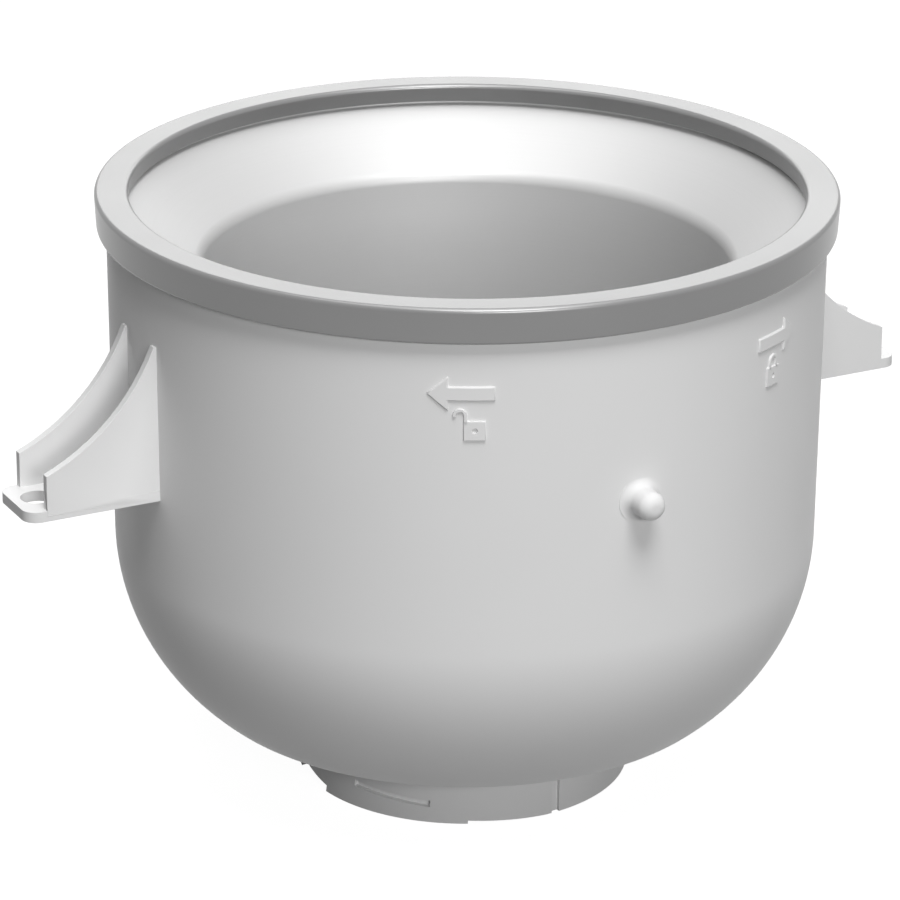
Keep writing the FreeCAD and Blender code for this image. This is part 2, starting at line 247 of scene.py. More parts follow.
class FREEZERBOWL_PG_finish(bpy.types.PropertyGroup):
    """Colours of the finishes."""

    plastic: colour("White plastic", (0.78, 0.78, 0.78), "Colour of the bowl and the base ring")
    metal: colour("Liner metal", (0.55, 0.55, 0.55), "Colour of the liner")
    rim: colour("Rim", (0.22, 0.22, 0.22), "Colour of the rim ring")
    rubber: colour("Rubber", (0.05, 0.05, 0.05), "Colour of the gasket and the plug's seal")
    gel: colour("Refrigerant", (0.42, 0.60, 0.78), "Colour of the liquid between the walls")


class FREEZERBOWL_PG_stage(bpy.types.PropertyGroup):
    """Camera, floor and lamps."""

    azimuth: angle("Azimuth", -27.49, "Direction of the camera round the bowl")
    elevation: angle("Elevation", 21.59, "Direction of the camera above the floor")
    roll: angle("Roll", 0.39, "Turn of the camera about its view")
    lens: bpy.props.FloatProperty(
        name="Lens", description="Focal length in millimetres", default=180.0, unit="CAMERA")
    location: place("Camera", (-0.5765, -1.0982, 0.5894), "Place of the camera")
    floor_size: length("Floor", 6000.0, "Length of the floor's sides")
    floor_grey: share("Floor grey", 0.15, "Grey that the floor shows to the lamps")
    floor_glow: share("Floor glow", 0.96, "Glow that makes the floor look white")
    ambient: share("Ambient", 0.10, "Light from all round")
    aim_height: length("Aim height", 100.0, "Height on the bowl's axis that the lamps point at")
    front_power: power("Front power", 20.0, "Power of the low lamp in front")
    front_place: place("Front place", (-0.4, -2.15, 0.85), "Place of the low lamp in front")
    front_size: extent("Front size", (0.8, 0.5), "Width and height of the low lamp in front")
    key_power: power("Key power", 31.0, "Power of the high lamp in front")
    key_place: place("Key place", (-0.2, -1.05, 2.1), "Place of the high lamp in front")
    key_size: extent("Key size", (0.9, 0.8), "Width and height of the high lamp in front")
    top_power: power("Top power", 11.0, "Power of the lamp overhead")
    top_place: place("Top place", (0.0, 0.1, 1.6), "Place of the lamp overhead")
    top_size: extent("Top size", (1.3, 1.3), "Width and height of the lamp overhead")
    back_power: power("Back power", 5.0, "Power of the lamp behind")
    back_place: place("Back place", (0.75, 1.35, 0.75), "Place of the lamp behind")
    back_size: extent("Back size", (1.4, 0.5), "Width and height of the lamp behind")


class FREEZERBOWL_PG_settings(bpy.types.PropertyGroup):
    """All settings of the freezer bowl."""

    wall: bpy.props.PointerProperty(type=FREEZERBOWL_PG_wall)
    bracket: bpy.props.PointerProperty(type=FREEZERBOWL_PG_bracket)
    liner: bpy.props.PointerProperty(type=FREEZERBOWL_PG_liner)
    rim: bpy.props.PointerProperty(type=FREEZERBOWL_PG_rim)
    base: bpy.props.PointerProperty(type=FREEZERBOWL_PG_base)
    signs: bpy.props.PointerProperty(type=FREEZERBOWL_PG_signs)
    finish: bpy.props.PointerProperty(type=FREEZERBOWL_PG_finish)
    stage: bpy.props.PointerProperty(type=FREEZERBOWL_PG_stage)


def settings():
    return bpy.context.scene.freezer_bowl


# Outlines


def at(radius, height):
    """Point of a half section that is turned about the upright axis."""
    return Vector((radius, 0.0, height))


def arc(centre, radius, start, end, steps=ARC_STEPS):
    """Points along an arc of the half section, by angles below the outward direction."""
    points = []
    for step in range(steps + 1):
        below = start + (end - start) * step / steps
        points.append(centre + at(radius * math.cos(below), -radius * math.sin(below)))
    return points


def arc_through(start, middle, end, steps=ARC_STEPS):
    """Points along the arc through three points, both ends included."""
    first = middle - start
    second = end - start
    normal = first.cross(second)
    offset = second.length_squared * normal.cross(first) + first.length_squared * second.cross(normal)
    centre = start + offset / (2 * normal.length_squared)
    spoke = start - centre
    axis = normal.normalized()
    sweep = spoke.angle(middle - centre) + (middle - centre).angle(end - centre)
    return [centre + Matrix.Rotation(sweep * step / steps, 3, axis) @ spoke for step in range(steps + 1)]


def rounded(points, rounds, steps=ARC_STEPS):
    """Outline whose corners are rounded, where a round of 0 keeps the corner."""
    outline = []
    count = len(points)
    for index, (corner, radius) in enumerate(zip(points, rounds)):
        if radius == 0:
            outline.append(corner)
            continue
        before = (points[index - 1] - corner).normalized()
        after = (points[(index + 1) % count] - corner).normalized()
        half_angle = before.angle(after) / 2
        reach = radius / math.tan(half_angle)
        bisector = (before + after).normalized()
        middle = corner + bisector * (radius / math.sin(half_angle) - radius)
        outline += arc_through(corner + before * reach, middle, corner + after * reach, steps)
    return outline


def offset_line(points, rounds, distance):
    """Open half section moved to its right-hand side, with each rounding moved alike."""
    shifts = []
    for start, end in zip(points, points[1:]):
        direction = (end - start).normalized()
        shifts.append((direction, Vector((direction.z, 0.0, -direction.x)) * distance))
    moved = [points[0] + shifts[0][1]]
    moved_rounds = [0]
    for index in range(1, len(points) - 1):
        direction, shift = shifts[index - 1]
        next_direction, next_shift = shifts[index]
        bend = direction.x * next_direction.z - direction.z * next_direction.x
        gap = next_shift - shift
        along = (gap.x * next_direction.z - gap.z * next_direction.x) / bend
        moved.append(points[index] + shift + direction * along)
        moved_rounds.append(rounds[index] + math.copysign(distance, bend) if rounds[index] else 0)
    moved.append(points[-1] + shifts[-1][1])
    moved_rounds.append(0)
    return moved, moved_rounds


# Modelling


def deselect():
    if bpy.context.mode != "OBJECT":
        bpy.ops.object.mode_set(mode="OBJECT")
    bpy.ops.object.select_all(action="DESELECT")


def choose(piece):
    """Makes a piece the only selected one and the active one."""
    deselect()
    piece.select_set(True)
    bpy.context.view_layer.objects.active = piece


def draw(name, points):
    """New piece in edit mode with a closed line of edges, drawn by extruding one vertex."""
    deselect()
    bpy.ops.mesh.primitive_plane_add(size=SEED_SIZE)
    piece = bpy.context.object
    piece.name = name
    piece.data.name = name
    bpy.ops.object.mode_set(mode="EDIT")
    bpy.ops.mesh.select_mode(type="VERT")
    bpy.ops.mesh.select_all(action="SELECT")
    bpy.ops.mesh.merge(type="CENTER")
    bpy.ops.mesh.select_all(action="SELECT")
    bpy.ops.transform.translate(value=points[0])
    for start, end in zip(points, points[1:] + points[:1]):
        bpy.ops.mesh.extrude_region_move(TRANSFORM_OT_translate={"value": end - start})
    bpy.ops.mesh.select_all(action="SELECT")
    bpy.ops.mesh.remove_doubles(threshold=MERGE_DISTANCE)
    return piece


def close_mesh():
    """Merges doubles, points the faces outwards and leaves edit mode."""
    bpy.ops.mesh.select_all(action="SELECT")
    bpy.ops.mesh.remove_doubles(threshold=MERGE_DISTANCE)
    bpy.ops.mesh.normals_make_consistent(inside=False)
    bpy.ops.object.mode_set(mode="OBJECT")


def lathe(name, section, centre=(0, 0, 0), axis=(0, 0, 1), steps=LATHE_STEPS):
    """Piece made by spinning a half section all the way round an axis."""
    piece = draw(name, section)
    bpy.ops.mesh.select_all(action="SELECT")
    bpy.ops.mesh.spin(steps=steps, angle=FULL_TURN, center=centre, axis=axis)
    close_mesh()
    return piece


def slab(name, outline, depth):
    """Piece made by filling a flat outline and extruding it by a vector."""
    piece = draw(name, outline)
    bpy.ops.mesh.select_all(action="SELECT")
    bpy.ops.mesh.edge_face_add()
    bpy.ops.mesh.extrude_region_move(TRANSFORM_OT_translate={"value": depth})
    close_mesh()
    return piece


def box(name, low, high):
    """Block between two corners, as a cutter or a rough start."""
    outline = [Vector(low), Vector((high[0], low[1], low[2])), Vector((high[0], high[1], low[2]))]
    outline.append(Vector((low[0], high[1], low[2])))
    return slab(name, outline, Vector((0, 0, high[2] - low[2])))


def sector(name, inner, outer, low, high, span):
    """Part of a flat ring from the XZ plane round by an angle, where spin counts the other way."""
    piece = draw(name, [at(inner, low), at(outer, low), at(outer, high), at(inner, high)])
    bpy.ops.mesh.select_all(action="SELECT")
    bpy.ops.mesh.edge_face_add()
    steps = math.ceil(span / FULL_TURN * LATHE_STEPS)
    bpy.ops.mesh.spin(steps=steps, angle=-span, center=(0, 0, 0), axis=(0, 0, 1))
    close_mesh()
    return piece


def turn(piece, axis, radians, centre=(0, 0, 0)):
    """Turns a piece's mesh about an axis, where the operator counts the other way with no window."""
    choose(piece)
    bpy.ops.object.mode_set(mode="EDIT")
    bpy.ops.mesh.select_all(action="SELECT")
    bpy.ops.transform.rotate(value=-radians, orient_axis=axis, center_override=centre)
    bpy.ops.object.mode_set(mode="OBJECT")
    return piece


def copied(piece, name):
    """Copy of a piece with its own mesh."""
    choose(piece)
    bpy.ops.object.duplicate(linked=False)
    twin = bpy.context.object
    twin.name = name
    twin.data.name = name
    return twin


def around(piece, count):
    """The piece and its copies at even angles about the upright axis."""
    found = [piece]
    for index in range(1, count):
        twin = copied(piece, f"{piece.name}_{index + 1}")
        found.append(turn(twin, "Z", FULL_TURN * index / count))
    return found


def apply_modifier(piece, kind, **options):
    """Adds a modifier, sets it and applies it."""
    choose(piece)
    modifier = piece.modifiers.new(kind.title(), kind)
    for key, value in options.items():
        setattr(modifier, key, value)
    bpy.ops.object.modifier_apply(modifier=modifier.name)


def combine(piece, others, operation):
    """Adds other solids to a piece or cuts them out of it, and removes them."""
    for other in others:
        apply_modifier(piece, "BOOLEAN", operation=operation, solver="EXACT", object=other)
        choose(other)
        bpy.ops.object.delete()


def soften(piece, width, segments=BEVEL_SEGMENTS):
    """Rounds a piece's sharp edges, or chamfers them with one segment."""
    apply_modifier(piece, "BEVEL", width=width, segments=segments, limit_method="ANGLE",
                   angle_limit=BEVEL_ANGLE)


def smooth(piece):
    """Shades a piece smooth up to an angle, with the normals led by its large faces."""
    choose(piece)
    bpy.ops.object.shade_smooth_by_angle(angle=SMOOTH_ANGLE)
    apply_modifier(piece, "WEIGHTED_NORMAL", keep_sharp=True)


def finish_piece(piece, material, body="vessel", replaces=()):
    """Shades a piece, gives it its material and sets it on its body."""
    smooth(piece)
    piece.data.materials.clear()
    piece.data.materials.append(material)
    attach(piece, body)
    if replaces:
        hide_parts(*replaces)
    if not piece.data.polygons:
        raise RuntimeError(f"{piece.name} has no faces")


# Materials


class NodeBench:
    """Short calls for building the nodes of one material or of the world."""

    def __init__(self, owner, output="ShaderNodeOutputMaterial"):
        owner.use_nodes = True
        self.owner = owner
        self.tree = owner.node_tree
        self.tree.nodes.clear()
        self.output = self.add(output)

    def add(self, kind, inputs=None, **options):
        node = self.tree.nodes.new(kind)
        for key, value in options.items():
            setattr(node, key, value)
        for key, value in (inputs or {}).items():
            if isinstance(value, bpy.types.NodeSocket):
                self.tree.links.new(value, node.inputs[key])
            else:
                node.inputs[key].default_value = value
        return node

    def place(self):
        return self.add("ShaderNodeTexCoord").outputs["Object"]

    def noise(self, vector, scale, detail=3.0, roughness=0.5):
        node = self.add("ShaderNodeTexNoise", {"Vector": vector, "Scale": scale, "Detail": detail,
                                               "Roughness": roughness})
        return node.outputs["Fac"]

    def spread(self, value, low=0.0, high=1.0, start=0.2, end=0.8):
        node = self.add("ShaderNodeMapRange", {"Value": value, "From Min": start, "From Max": end,
                                               "To Min": low, "To Max": high})
        return node.outputs["Result"]

    def tinted(self, cloud, base, dark, light):
        """Colour that goes from a darker to a lighter share of its base with a noise."""
        ends = [(*(channel * factor for channel in base), 1.0) for factor in (dark, light)]
        inputs = {MIX_FACTOR: self.spread(cloud), MIX_FIRST: ends[0], MIX_SECOND: ends[1]}
        return self.add("ShaderNodeMix", inputs, data_type="RGBA").outputs[MIX_RESULT]

    def bump(self, height, strength, distance, normal=None):
        inputs = {"Height": height, "Strength": strength, "Distance": distance}
        if normal is not None:
            inputs["Normal"] = normal
        return self.add("ShaderNodeBump", inputs).outputs["Normal"]

    def principled(self, **inputs):
        named = {key.replace("_", " "): value for key, value in inputs.items()}
        shader = self.add("ShaderNodeBsdfPrincipled", named)
        return self.surface(shader.outputs["BSDF"])

    def surface(self, shader):
        """Links the finished shader and gives back what the bench works on."""
        self.tree.links.new(shader, self.output.inputs["Surface"])
        return self.owner


def material_bench(name):
    """Bench of a material, which is made at its first use."""
    return NodeBench(bpy.data.materials.get(name) or bpy.data.materials.new(name))


def white_plastic():
    """Satin moulded plastic with faint flow marks and a very fine grain."""
    bench = material_bench("white_plastic")
    base = settings().finish.plastic
    point = bench.place()
    cloud = bench.noise(point, scale=18.0, detail=2.0)
    grain = bench.noise(point, scale=2600.0, detail=2.0)
    flow = bench.noise(point, scale=45.0, detail=3.0)
    tint = bench.tinted(cloud, base, dark=0.985, light=1.012)
    gloss = bench.spread(flow, low=0.38, high=0.46)
    normal = bench.bump(grain, strength=0.06, distance=0.05 * MM)
    normal = bench.bump(flow, strength=0.03, distance=0.4 * MM, normal=normal)
    return bench.principled(Base_Color=tint, Roughness=gloss, Normal=normal, IOR=1.49,
                            Specular_IOR_Level=0.08)


def liner_metal():
    """Satin spun metal with fine rings round the axis."""
    bench = material_bench("liner_metal")
    base = settings().finish.metal
    point = bench.place()
    flat = bench.add("ShaderNodeVectorMath", {0: point, 1: (1.0, 1.0, 0.0)}, operation="MULTIPLY")
    radius = bench.add("ShaderNodeVectorMath", {0: flat.outputs["Vector"]}, operation="LENGTH")
    height = bench.add("ShaderNodeSeparateXYZ", {"Vector": point})
    section = {"X": radius.outputs["Value"], "Z": height.outputs["Z"]}
    ring = bench.add("ShaderNodeCombineXYZ", section).outputs["Vector"]
    fine = bench.noise(ring, scale=1900.0, detail=4.0, roughness=0.6)
    broad = bench.noise(ring, scale=160.0, detail=2.0)
    cloud = bench.noise(point, scale=14.0, detail=2.0)
    tint = bench.tinted(fine, base, dark=0.985, light=1.015)
    gloss = bench.spread(cloud, low=0.46, high=0.54)
    normal = bench.bump(fine, strength=0.03, distance=0.03 * MM)
    normal = bench.bump(broad, strength=0.02, distance=0.08 * MM, normal=normal)
    return bench.principled(Base_Color=tint, Roughness=gloss, Normal=normal, Metallic=0.35, IOR=1.45,
                            Specular_IOR_Level=0.3)


def grey_plastic():
    """Satin grey plastic with a fine even grain."""
    bench = material_bench("grey_plastic")
    base = settings().finish.rim
    point = bench.place()
    cloud = bench.noise(point, scale=22.0, detail=2.0)
    grain = bench.noise(point, scale=2200.0, detail=2.0)
    tint = bench.tinted(cloud, base, dark=0.96, light=1.04)
    gloss = bench.spread(cloud, low=0.27, high=0.34)
    normal = bench.bump(grain, strength=0.08, distance=0.05 * MM)
    return bench.principled(Base_Color=tint, Roughness=gloss, Normal=normal, Metallic=0.35, IOR=1.6)


def seal_rubber():
    """Matt dark rubber with a dusty bloom."""
    bench = material_bench("seal_rubber")
    base = settings().finish.rubber
    point = bench.place()
    bloom = bench.noise(point, scale=300.0, detail=4.0)
    tint = bench.tinted(bloom, base, dark=1.0, light=1.8)
    gloss = bench.spread(bloom, low=0.6, high=0.8)
    normal = bench.bump(bloom, strength=0.15, distance=0.08 * MM)
    return bench.principled(Base_Color=tint, Roughness=gloss, Normal=normal, IOR=1.5)


def refrigerant():
    """Cloudy blue liquid."""
    bench = material_bench("refrigerant")
    base = settings().finish.gel
    point = bench.place()
    cloud = bench.noise(point, scale=60.0, detail=4.0)
    tint = bench.tinted(cloud, base, dark=0.85, light=1.1)
    gloss = bench.spread(cloud, low=0.1, high=0.2)
    normal = bench.bump(cloud, strength=0.1, distance=0.3 * MM)
    return bench.principled(Base_Color=tint, Roughness=gloss, Normal=normal, IOR=1.35)


def seen_directly(bench):
    """1 for rays that show the background itself, by eye, in gloss or through clear parts."""
    path = bench.add("ShaderNodeLightPath")
    seen = bench.add("ShaderNodeMath", {0: path.outputs["Is Camera Ray"], 1: path.outputs["Is Glossy Ray"]},
                     operation="MAXIMUM").outputs[0]
    return bench.add("ShaderNodeMath", {0: seen, 1: path.outputs["Is Transmission Ray"]},
                     operation="MAXIMUM").outputs[0]


def pale_floor():
    """Matt pale floor that reads as white and keeps the shadow."""
    bench = material_bench("pale_floor")
    stage = settings().stage
    base = (stage.floor_grey,) * 3
    seen = seen_directly(bench)
    lift = bench.add("ShaderNodeMath", {0: seen, 1: stage.floor_glow}, operation="MULTIPLY").outputs[0]
    cloud = bench.noise(bench.place(), scale=6.0, detail=3.0)
    tint = bench.tinted(cloud, base, dark=1.0, light=1.06)
    matt = bench.add("ShaderNodeBsdfDiffuse", {"Color": tint}).outputs["BSDF"]
    glow = bench.add("ShaderNodeEmission", {"Strength": lift}).outputs["Emission"]
    return bench.surface(bench.add("ShaderNodeAddShader", {0: matt, 1: glow}).outputs["Shader"])


# Operators


def wall_radius(wall, height):
    """Outside of the upright part of the wall at a height."""
    return wall.top_radius - (wall.top_height - height) * math.tan(wall.draft)


def wall_side(wall, inset):
    """Half section of the wall from its top edge to the underside, moved inwards by inset."""
    bend_radius = wall_radius(wall, wall.bend_height)
    side_centre = at(bend_radius - wall.side_round * math.cos(wall.draft),
                     wall.bend_height + wall.side_round * math.sin(wall.draft))
    round_step = wall.side_round - wall.heel_round
    heel_angle = math.asin((side_centre.z - wall.underside - wall.heel_round) / round_step)
    heel_centre = at(side_centre.x + round_step * math.cos(heel_angle), wall.underside + wall.heel_round)
    side = arc(side_centre, wall.side_round - inset, wall.draft, heel_angle, 2 * ARC_STEPS)
    heel = arc(heel_centre, wall.heel_round - inset, heel_angle, math.pi / 2)
    rise = wall.top_height - side[0].z
    upright = []
    for step in range(ARC_STEPS):
        climb = rise * (1 - step / ARC_STEPS)
        upright.append(side[0] + at(climb * math.tan(wall.draft), climb))
    return upright + side + heel[1:]


class FREEZERBOWL_OT_wall(bpy.types.Operator):
    """Turn the white bowl wall with the collar under it"""

    bl_idname = "freezer_bowl.wall"
    bl_label = "Bowl Wall"

    def execute(self, context):
        wall = settings().wall
        collar_inside = wall.collar_radius - wall.collar_wall
        collar_end = SHELL_BOX[0].z
        section = wall_side(wall, 0)
        section += [at(wall.collar_radius, wall.underside), at(wall.collar_radius, collar_end)]
        section += [at(collar_inside, collar_end), at(collar_inside, wall.underside)]
        section += [at(wall.plug_hole, wall.underside), at(wall.plug_hole, wall.underside + wall.thickness)]
        section += reversed(wall_side(wall, wall.thickness))
        piece = lathe("bowl_wall", section)
        soften(piece, wall.edge_round)
        finish_piece(piece, white_plastic(), replaces=["outer_shell"])
        return {"FINISHED"}


class FREEZERBOWL_OT_collar_keys(bpy.types.Operator):
    """Add the upright keys on the collar's outside"""

    bl_idname = "freezer_bowl.collar_keys"
    bl_label = "Collar Keys"

    def execute(self, context):
        wall = settings().wall
        half = wall.key_width / 2
        low = (wall.collar_radius - wall.collar_wall / 2, -half, wall.underside - wall.key_length)
        high = (wall.collar_radius + wall.key_depth, half, wall.underside)
        key = turn(box("collar_key", low, high), "Z", wall.key_angle)
        soften(key, wall.edge_round)
        for piece in around(key, wall.key_count):
            finish_piece(piece, white_plastic())
        return {"FINISHED"}


class FREEZERBOWL_OT_brackets(bpy.types.Operator):
    """Model one ribbed side bracket and copy it to the other side"""

    bl_idname = "freezer_bowl.brackets"
    bl_label = "Side Brackets"

    def rib(self, sizes, wall, root_reach, side):
        """One upright rib with a hollowed edge, on one side of the plate."""
        low = sizes.plate_top - sizes.plate_thickness / 2
        end_reach = sizes.reach - sizes.rib_inset
        middle_reach = wall.top_radius + (end_reach - wall.top_radius) * sizes.rib_middle_share
        root = at(wall.top_radius, sizes.plate_top + sizes.rib_root)
        middle = at(middle_reach, sizes.plate_top + sizes.rib_middle)
        end = at(end_reach, sizes.plate_top + sizes.rib_end)
        outline = [at(root_reach, low), at(end_reach, low)]
        outline += arc_through(end, middle, root)
        outline.append(at(root_reach, root.z))
        shift = Vector((0, side * sizes.half_width, 0))
        depth = Vector((0, -side * sizes.rib_wall, 0))
        return slab("bracket_rib", [point + shift for point in outline], depth)

    def execute(self, context):
        wall = settings().wall
        sizes = settings().bracket
        root_reach = wall.top_radius - sizes.root_depth
        low = sizes.plate_top - sizes.plate_thickness
        half = sizes.half_width
        corners = [Vector((root_reach, -half, low)), Vector((sizes.reach, -half, low))]
        corners += [Vector((sizes.reach, half, low)), Vector((root_reach, half, low))]
        outline = rounded(corners, [0, sizes.corner_round, sizes.corner_round, 0])
        piece = slab("bracket_right", outline, Vector((0, 0, sizes.plate_thickness)))
        combine(piece, [self.rib(sizes, wall, root_reach, side) for side in (1, -1)], "UNION")
        middle = sizes.reach - sizes.hole_inset
        edge = middle + sizes.hole_radius
        below = low - sizes.plate_thickness
        above = sizes.plate_top + sizes.plate_thickness
        section = [at(middle, below), at(edge, below), at(edge, above), at(middle, above)]
        hole = lathe("pin_hole", section, centre=(middle, 0, 0), steps=HOLE_STEPS)
        combine(piece, [hole], "DIFFERENCE")
        soften(piece, sizes.edge_round)
        twin = turn(copied(piece, "bracket_left"), "Z", math.pi)
        for bracket in (piece, twin):
            finish_piece(bracket, white_plastic())
        return {"FINISHED"}


class FREEZERBOWL_OT_stud(bpy.types.Operator):
    """Turn the round locating stud on the front of the wall"""

    bl_idname = "freezer_bowl.stud"
    bl_label = "Locating Stud"

    def execute(self, context):
        wall = settings().wall
        face = wall_radius(wall, wall.stud_height)
        root = face - wall.thickness / 2
        flare = wall.stud_radius + wall.stud_foot
        steps = [(0, root), (flare, root), (flare, face), (wall.stud_radius, face)]
        steps += [(wall.stud_radius, wall.stud_tip), (0, wall.stud_tip)]
        points = [Vector((radius, -reach, wall.stud_height)) for radius, reach in steps]
        section = rounded(points, [0, 0, 0, wall.stud_foot_round, wall.stud_dome, 0])
        centre = (0, 0, wall.stud_height)
        piece = lathe("locating_stud", section, centre=centre, axis=(0, 1, 0), steps=STUD_STEPS)
        finish_piece(piece, white_plastic())
        return {"FINISHED"}


class FREEZERBOWL_OT_liner(bpy.types.Operator):
    """Turn the metal liner with its sloping shoulder and flange"""

    bl_idname = "freezer_bowl.liner"
    bl_label = "Liner"

    def execute(self, context):
        sizes = settings().liner
        shoulder_height = sizes.flange_top - sizes.step_depth
        mouth_radius = sizes.step_radius - sizes.shoulder_width
        mouth = at(mouth_radius, shoulder_height - sizes.shoulder_width * math.tan(sizes.shoulder_angle))
        floor_radius = mouth_radius - (mouth.z - sizes.floor_height) * math.tan(sizes.draft)
        line = [at(0, sizes.floor_height), at(floor_radius, sizes.floor_height), mouth]
        line += [at(sizes.step_radius, shoulder_height), at(sizes.step_radius, sizes.flange_top)]
        rounds = [0, sizes.floor_round, sizes.mouth_round, 0, 0]
        outer_line, outer_rounds = offset_line(line, rounds, sizes.thickness)
        flange_bottom = sizes.flange_top - sizes.thickness
        outer_line[-1] = at(outer_line[-1].x, flange_bottom)
        section = rounded(line, rounds)
        section += [at(sizes.flange_radius, sizes.flange_top), at(sizes.flange_radius, flange_bottom)]
        section += reversed(rounded(outer_line, outer_rounds))
        piece = lathe("liner", section)
        soften(piece, sizes.edge_round)
        finish_piece(piece, liner_metal(), replaces=["inner_liner"])
        return {"FINISHED"}


class FREEZERBOWL_OT_rim(bpy.types.Operator):
    """Turn the grey ring that caps the rim"""

    bl_idname = "freezer_bowl.rim"
    bl_label = "Rim Ring"

    def execute(self, context):
        sizes = settings().rim
        lip_end = sizes.top - sizes.lip_height
        skirt_inside = sizes.radius - sizes.skirt_wall
        under_top = sizes.top - sizes.top_wall
        lip_outside = sizes.lip_radius + sizes.lip_wall
        points = [at(sizes.lip_radius + sizes.lip_taper, lip_end), at(sizes.lip_radius, sizes.top)]
        points += [at(sizes.radius, sizes.top), at(sizes.radius - sizes.skirt_taper, sizes.skirt_end)]
        points += [at(skirt_inside, sizes.skirt_end), at(skirt_inside, under_top)]
        points += [at(lip_outside, under_top), at(lip_outside, lip_end)]
        small = sizes.edge_round
        rounds = [small, sizes.inner_round, sizes.outer_round, sizes.skirt_round, small, 0, 0, small]
        piece = lathe("rim_cap", rounded(points, rounds))
        finish_piece(piece, grey_plastic(), replaces=["rim_ring"])
        return {"FINISHED"}


class FREEZERBOWL_OT_base(bpy.types.Operator):
    """Turn the base ring and cut its twist-lock ramps, ledges and grooves"""

    bl_idname = "freezer_bowl.base"
    bl_label = "Base Ring"

    def cutters(self, sizes):
        """Cutters of one lock pattern, each placed by its angle."""
        outside = sizes.radius + sizes.clearance
        inside = sizes.bore - sizes.clearance
        below = -sizes.flange_wall
        foot_end = sizes.foot_start + sizes.foot_span
        ramp = sector("ramp", inside, outside, below, sizes.ramp_rise, sizes.ramp_span)
        turn(ramp, "X", -sizes.ramp_slope, (0, 0, sizes.ramp_rise))
        turn(ramp, "Z", foot_end)
        lead_in = sector("lead_in", inside, outside, below, sizes.lead_in_rise, sizes.lead_in_span)
        turn(lead_in, "Z", -sizes.lead_in_span)
        turn(lead_in, "X", -sizes.lead_in_slope, (0, 0, sizes.lead_in_rise))
        turn(lead_in, "Z", sizes.foot_start)
        ledge_top = sizes.ledge_height + sizes.ledge_opening
        ledge = sector("ledge", sizes.radius - sizes.ledge_depth, outside, sizes.ledge_height, ledge_top,
                       sizes.ledge_span)
        turn(ledge, "X", -sizes.ledge_slope, (0, 0, sizes.ledge_height))
        turn(ledge, "Z", sizes.foot_start + sizes.ledge_start)
        half = sizes.groove_width / 2
        low = (sizes.radius - sizes.groove_depth, -half, below)
        groove = box("groove", low, (outside, half, 2 * sizes.height))
        turn(groove, "Z", sizes.foot_start + sizes.groove_angle)
        return [ramp, lead_in, ledge, groove]

    def key_slots(self, sizes, wall):
        """Cutters for the slots that the collar's keys sit in."""
        half = wall.key_width / 2 + sizes.clearance
        slot_end = sizes.height - wall.key_length - sizes.clearance
        low = (wall.collar_radius - wall.collar_wall / 2, -half, slot_end)
        high = (wall.collar_radius + wall.key_depth + sizes.clearance, half, 2 * sizes.height)
        return around(turn(box("key_slot", low, high), "Z", wall.key_angle), wall.key_count)

    def execute(self, context):
        sizes = settings().base
        flange_low = sizes.flange_top - sizes.flange_wall
        section = [at(sizes.bore, 0), at(sizes.radius, 0), at(sizes.radius, sizes.height)]
        section += [at(sizes.bore, sizes.height), at(sizes.bore, sizes.flange_top)]
        section += [at(sizes.flange_radius, sizes.flange_top), at(sizes.flange_radius, flange_low)]
        section.append(at(sizes.bore, flange_low))
        piece = lathe("twist_base", section)
        for cutter in self.cutters(sizes):
            combine(piece, around(cutter, sizes.lock_count), "DIFFERENCE")
        combine(piece, self.key_slots(sizes, settings().wall), "DIFFERENCE")
        soften(piece, sizes.edge_round)
        finish_piece(piece, white_plastic(), "base", replaces=["base_ring"])
        return {"FINISHED"}


